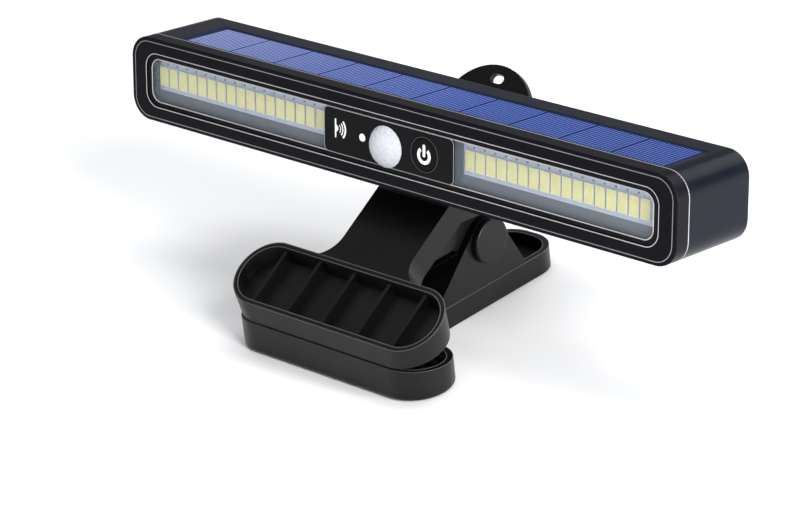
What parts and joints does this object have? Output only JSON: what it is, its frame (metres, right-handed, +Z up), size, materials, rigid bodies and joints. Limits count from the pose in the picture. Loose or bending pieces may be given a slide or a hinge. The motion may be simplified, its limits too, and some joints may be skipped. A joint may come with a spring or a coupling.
{
  "type": "clip-on solar LED light bar",
  "caption": "Slim solar LED light bar with motion sensor dome and push button, tilting on a sprung clamp with wide jaws and a hanging ear.",
  "frame": {"origin": "on the clamp's flat underside, midway across it, under the throat of the jaws", "axes": "+Z up, X along the bar, the lamp and the jaws face -Y"},
  "size_m": [0.2, 0.088, 0.0673],
  "materials": {
    "case_black": "satin moulded",
    "bezel_black": "semi-gloss moulded",
    "clamp_black": "fine satin texture",
    "seal_rubber": "matt",
    "clear_cover": "clear moulded polycarbonate",
    "panel_black": "high gloss",
    "dome_white": "milky, faceted",
    "indicator_white": "milky",
    "button_black": "satin",
    "led_yellow": "phosphor gel",
    "board_white": "white solder mask",
    "tray_grey": "satin moulded",
    "board_green": "solder mask",
    "chip_black": "moulded epoxy",
    "sensor_can": "plated",
    "switch_grey": "moulded",
    "cell_wrap": "shrink sleeve",
    "nickel": "nickel strip",
    "lead_insulation": "smooth",
    "solar_board": "laminate",
    "solar_cell": "silicon with printed fingers",
    "clear_resin": "clear cast resin",
    "steel": "zinc plated",
    "spring_steel": "drawn wire"
  },
  "bodies": {
    "clamp": {"lower_lever": "clamp_black", "pivot_pin": "steel", "pivot_caps": "clamp_black", "torsion_spring": "spring_steel"},
    "arm": {"upper_lever": "clamp_black", "tilt_bolt": "steel", "tilt_nut": "steel"},
    "lamp": {"housing": "case_black", "front_bezel": "bezel_black", "lens_seal": "seal_rubber", "window_lens": "clear_cover", "centre_panel": "panel_black", "pir_dome": "dome_white", "pir_sensor": "sensor_can", "indicator_lens": "indicator_white", "indicator_led": "indicator_white", "tact_switch": "switch_grey", "led_board_left": "board_white", "led_board_right": "board_white", "leds_left": "led_yellow", "leds_right": "led_yellow", "led_tray_left": "tray_grey", "led_tray_right": "tray_grey", "main_board": "board_green", "board_chips": "chip_black", "battery_cell": "cell_wrap", "battery_contacts": "nickel", "battery_cradle": "tray_grey", "solar_leads": "lead_insulation", "battery_leads": "lead_insulation", "solar_base": "solar_board", "solar_cells": "solar_cell", "solar_resin": "clear_resin", "case_screws": "steel"},
    "button": {"power_button": "button_black"}
  },
  "joints": [
    {"name": "clamp_open", "type": "hinge", "parent": "clamp", "child": "arm", "pos_m": [0, 0.024, 0.0195], "axis": [-1, 0, 0], "range_deg": [0, 28], "stiffness_Nm_per_rad": 0.6, "springref_deg": -51.57, "deforming": ["torsion_spring"]},
    {"name": "lamp_tilt", "type": "hinge", "parent": "arm", "child": "lamp", "pos_m": [0, 0.01653, 0.03628], "axis": [1, 0, 0], "range_deg": [-10, 30]},
    {"name": "button_press", "type": "slide", "parent": "lamp", "child": "button", "axis": [0, 0.9885, -0.1513], "range_m": [0, 0.0006], "stiffness_N_per_m": 600, "springref_m": -0.0008}
  ]
}
